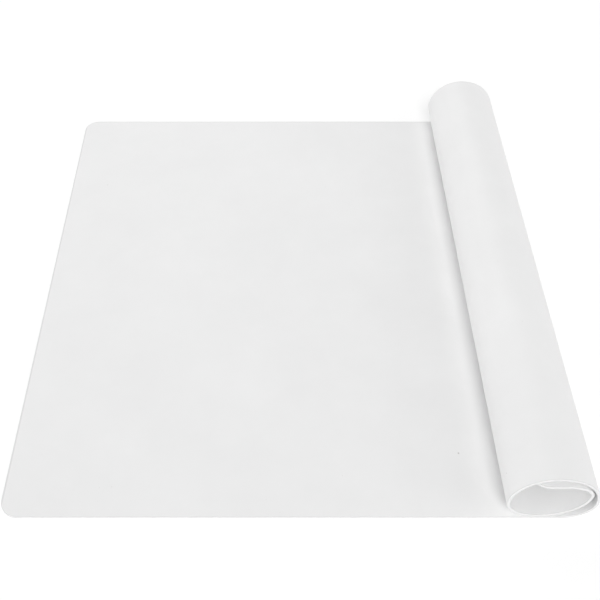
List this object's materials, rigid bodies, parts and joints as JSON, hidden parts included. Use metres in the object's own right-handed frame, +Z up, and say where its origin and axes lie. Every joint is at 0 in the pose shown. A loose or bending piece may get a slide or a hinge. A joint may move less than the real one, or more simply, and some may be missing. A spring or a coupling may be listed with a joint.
{
  "type": "silicone baking mat",
  "caption": "Plain white silicone baking mat: a thin flexible sheet with rounded corners, partly rolled up on itself at one end, that unrolls flat.",
  "frame": {"origin": "on the table, under the middle of the rolled-up mat's bounding box", "axes": "+Z up, +Y from the front edge to the back edge along the roll, +X from the free left edge towards the roll"},
  "size_m": [0.3834, 0.4, 0.05],
  "materials": {
    "white_silicone": "satin"
  },
  "bodies": {
    "flat_sheet": {"flat_sheet": "white_silicone"},
    "roll_band_01": {"roll_band_01": "white_silicone"},
    "roll_band_02": {"roll_band_02": "white_silicone"},
    "roll_band_03": {"roll_band_03": "white_silicone"},
    "roll_band_04": {"roll_band_04": "white_silicone"},
    "roll_band_05": {"roll_band_05": "white_silicone"},
    "roll_band_06": {"roll_band_06": "white_silicone"},
    "roll_band_07": {"roll_band_07": "white_silicone"},
    "roll_band_08": {"roll_band_08": "white_silicone"},
    "roll_band_09": {"roll_band_09": "white_silicone"},
    "roll_band_10": {"roll_band_10": "white_silicone"},
    "roll_band_11": {"roll_band_11": "white_silicone"},
    "roll_band_12": {"roll_band_12": "white_silicone"},
    "roll_band_13": {"roll_band_13": "white_silicone"},
    "roll_band_14": {"roll_band_14": "white_silicone"},
    "roll_band_15": {"roll_band_15": "white_silicone"},
    "roll_band_16": {"roll_band_16": "white_silicone"},
    "roll_band_17": {"roll_band_17": "white_silicone"},
    "roll_band_18": {"roll_band_18": "white_silicone"},
    "roll_band_19": {"roll_band_19": "white_silicone"},
    "roll_band_20": {"roll_band_20": "white_silicone"},
    "roll_band_21": {"roll_band_21": "white_silicone"},
    "roll_band_22": {"roll_band_22": "white_silicone"},
    "roll_band_23": {"roll_band_23": "white_silicone"},
    "roll_band_24": {"roll_band_24": "white_silicone"},
    "roll_band_25": {"roll_band_25": "white_silicone"},
    "roll_band_26": {"roll_band_26": "white_silicone"},
    "roll_band_27": {"roll_band_27": "white_silicone"},
    "roll_band_28": {"roll_band_28": "white_silicone"},
    "roll_band_29": {"roll_band_29": "white_silicone"},
    "roll_band_30": {"roll_band_30": "white_silicone"},
    "free_end": {"free_end": "white_silicone"}
  },
  "joints": [
    {"name": "bend_01", "type": "hinge", "parent": "flat_sheet", "child": "roll_band_01", "pos_m": [0.16923, 0, 0.001], "axis": [0, 1, 0], "range_deg": [0, 8.93]},
    {"name": "bend_02", "type": "hinge", "parent": "roll_band_01", "child": "roll_band_02", "pos_m": [0.17682, 0, 0.00219], "axis": [0, 1, 0], "range_deg": [0, 17.89]},
    {"name": "unroll", "type": "hinge", "parent": "roll_band_02", "child": "roll_band_03", "pos_m": [0.1831, 0, 0.00536], "axis": [0, 1, 0], "range_deg": [0, 17.98]},
    {"name": "bend_04", "type": "hinge", "parent": "roll_band_03", "child": "roll_band_04", "pos_m": [0.18746, 0, 0.00969], "axis": [0, 1, 0], "range_deg": [0, 18.05]},
    {"name": "bend_05", "type": "hinge", "parent": "roll_band_04", "child": "roll_band_05", "pos_m": [0.18993, 0, 0.01452], "axis": [0, 1, 0], "range_deg": [0, 18.1]},
    {"name": "bend_06", "type": "hinge", "parent": "roll_band_05", "child": "roll_band_06", "pos_m": [0.19073, 0, 0.0195], "axis": [0, 1, 0], "range_deg": [0, 18.06]},
    {"name": "bend_07", "type": "hinge", "parent": "roll_band_06", "child": "roll_band_07", "pos_m": [0.1893, 0, 0.02848], "axis": [0, 1, 0], "range_deg": [0, 18.01]},
    {"name": "bend_08", "type": "hinge", "parent": "roll_band_07", "child": "roll_band_08", "pos_m": [0.18514, 0, 0.03665], "axis": [0, 1, 0], "range_deg": [0, 18]},
    {"name": "bend_09", "type": "hinge", "parent": "roll_band_08", "child": "roll_band_09", "pos_m": [0.17855, 0, 0.04323], "axis": [0, 1, 0], "range_deg": [0, 18]},
    {"name": "bend_10", "type": "hinge", "parent": "roll_band_09", "child": "roll_band_10", "pos_m": [0.17014, 0, 0.04751], "axis": [0, 1, 0], "range_deg": [0, 17.99]},
    {"name": "bend_11", "type": "hinge", "parent": "roll_band_10", "child": "roll_band_11", "pos_m": [0.16073, 0, 0.049], "axis": [0, 1, 0], "range_deg": [0, 18.01]},
    {"name": "bend_12", "type": "hinge", "parent": "roll_band_11", "child": "roll_band_12", "pos_m": [0.15281, 0, 0.04774], "axis": [0, 1, 0], "range_deg": [0, 18.03]},
    {"name": "bend_13", "type": "hinge", "parent": "roll_band_12", "child": "roll_band_13", "pos_m": [0.14553, 0, 0.04403], "axis": [0, 1, 0], "range_deg": [0, 18.01]},
    {"name": "bend_14", "type": "hinge", "parent": "roll_band_13", "child": "roll_band_14", "pos_m": [0.13957, 0, 0.03806], "axis": [0, 1, 0], "range_deg": [0, 17.99]},
    {"name": "bend_15", "type": "hinge", "parent": "roll_band_14", "child": "roll_band_15", "pos_m": [0.13562, 0, 0.03029], "axis": [0, 1, 0], "range_deg": [0, 17.97]},
    {"name": "bend_16", "type": "hinge", "parent": "roll_band_15", "child": "roll_band_16", "pos_m": [0.13423, 0, 0.0215], "axis": [0, 1, 0], "range_deg": [0, 18.04]},
    {"name": "bend_17", "type": "hinge", "parent": "roll_band_16", "child": "roll_band_17", "pos_m": [0.13499, 0, 0.01672], "axis": [0, 1, 0], "range_deg": [0, 18.11]},
    {"name": "bend_18", "type": "hinge", "parent": "roll_band_17", "child": "roll_band_18", "pos_m": [0.13737, 0, 0.01208], "axis": [0, 1, 0], "range_deg": [0, 18.06]},
    {"name": "bend_19", "type": "hinge", "parent": "roll_band_18", "child": "roll_band_19", "pos_m": [0.1416, 0, 0.00788], "axis": [0, 1, 0], "range_deg": [0, 17.98]},
    {"name": "bend_20", "type": "hinge", "parent": "roll_band_19", "child": "roll_band_20", "pos_m": [0.14775, 0, 0.00477], "axis": [0, 1, 0], "range_deg": [0, 17.88]},
    {"name": "bend_21", "type": "hinge", "parent": "roll_band_20", "child": "roll_band_21", "pos_m": [0.15523, 0, 0.0036], "axis": [0, 1, 0], "range_deg": [0, 17.82]},
    {"name": "bend_22", "type": "hinge", "parent": "roll_band_21", "child": "roll_band_22", "pos_m": [0.16623, 0, 0.00532], "axis": [0, 1, 0], "range_deg": [0, 17.86]},
    {"name": "bend_23", "type": "hinge", "parent": "roll_band_22", "child": "roll_band_23", "pos_m": [0.17509, 0, 0.00979], "axis": [0, 1, 0], "range_deg": [0, 17.97]},
    {"name": "bend_24", "type": "hinge", "parent": "roll_band_23", "child": "roll_band_24", "pos_m": [0.18103, 0, 0.01567], "axis": [0, 1, 0], "range_deg": [0, 18.07]},
    {"name": "bend_25", "type": "hinge", "parent": "roll_band_24", "child": "roll_band_25", "pos_m": [0.1843, 0, 0.02204], "axis": [0, 1, 0], "range_deg": [0, 18.12]},
    {"name": "bend_26", "type": "hinge", "parent": "roll_band_25", "child": "roll_band_26", "pos_m": [0.18533, 0, 0.0285], "axis": [0, 1, 0], "range_deg": [0, 18.21]},
    {"name": "bend_27", "type": "hinge", "parent": "roll_band_26", "child": "roll_band_27", "pos_m": [0.18498, 0, 0.03067], "axis": [0, 1, 0], "range_deg": [0, 18.27]},
    {"name": "bend_28", "type": "hinge", "parent": "roll_band_27", "child": "roll_band_28", "pos_m": [0.18377, 0, 0.03301], "axis": [0, 1, 0], "range_deg": [0, 18.22]},
    {"name": "bend_29", "type": "hinge", "parent": "roll_band_28", "child": "roll_band_29", "pos_m": [0.18109, 0, 0.03563], "axis": [0, 1, 0], "range_deg": [0, 18.05]},
    {"name": "bend_30", "type": "hinge", "parent": "roll_band_29", "child": "roll_band_30", "pos_m": [0.17581, 0, 0.03824], "axis": [0, 1, 0], "range_deg": [0, 17.65]},
    {"name": "bend_31", "type": "hinge", "parent": "roll_band_30", "child": "free_end", "pos_m": [0.16753, 0, 0.0395], "axis": [0, 1, 0], "range_deg": [0, 8.67]}
  ],
  "couplings": [
    {"joint": "bend_01", "follows": "unroll", "ratio": 0.49653},
    {"joint": "bend_02", "follows": "unroll", "ratio": 0.99525},
    {"joint": "bend_04", "follows": "unroll", "ratio": 1.0043},
    {"joint": "bend_05", "follows": "unroll", "ratio": 1.0069},
    {"joint": "bend_06", "follows": "unroll", "ratio": 1.0049},
    {"joint": "bend_07", "follows": "unroll", "ratio": 1.002},
    {"joint": "bend_08", "follows": "unroll", "ratio": 1.0016},
    {"joint": "bend_09", "follows": "unroll", "ratio": 1.0011},
    {"joint": "bend_10", "follows": "unroll", "ratio": 1.0007},
    {"joint": "bend_11", "follows": "unroll", "ratio": 1.0018},
    {"joint": "bend_12", "follows": "unroll", "ratio": 1.0028},
    {"joint": "bend_13", "follows": "unroll", "ratio": 1.002},
    {"joint": "bend_14", "follows": "unroll", "ratio": 1.0009},
    {"joint": "bend_15", "follows": "unroll", "ratio": 0.99991},
    {"joint": "bend_16", "follows": "unroll", "ratio": 1.0038},
    {"joint": "bend_17", "follows": "unroll", "ratio": 1.0072},
    {"joint": "bend_18", "follows": "unroll", "ratio": 1.0045},
    {"joint": "bend_19", "follows": "unroll", "ratio": 0.99998},
    {"joint": "bend_20", "follows": "unroll", "ratio": 0.99485},
    {"joint": "bend_21", "follows": "unroll", "ratio": 0.99147},
    {"joint": "bend_22", "follows": "unroll", "ratio": 0.99359},
    {"joint": "bend_23", "follows": "unroll", "ratio": 0.99996},
    {"joint": "bend_24", "follows": "unroll", "ratio": 1.0053},
    {"joint": "bend_25", "follows": "unroll", "ratio": 1.0082},
    {"joint": "bend_26", "follows": "unroll", "ratio": 1.0129},
    {"joint": "bend_27", "follows": "unroll", "ratio": 1.0163},
    {"joint": "bend_28", "follows": "unroll", "ratio": 1.0138},
    {"joint": "bend_29", "follows": "unroll", "ratio": 1.0042},
    {"joint": "bend_30", "follows": "unroll", "ratio": 0.98165},
    {"joint": "bend_31", "follows": "unroll", "ratio": 0.48255}
  ]
}
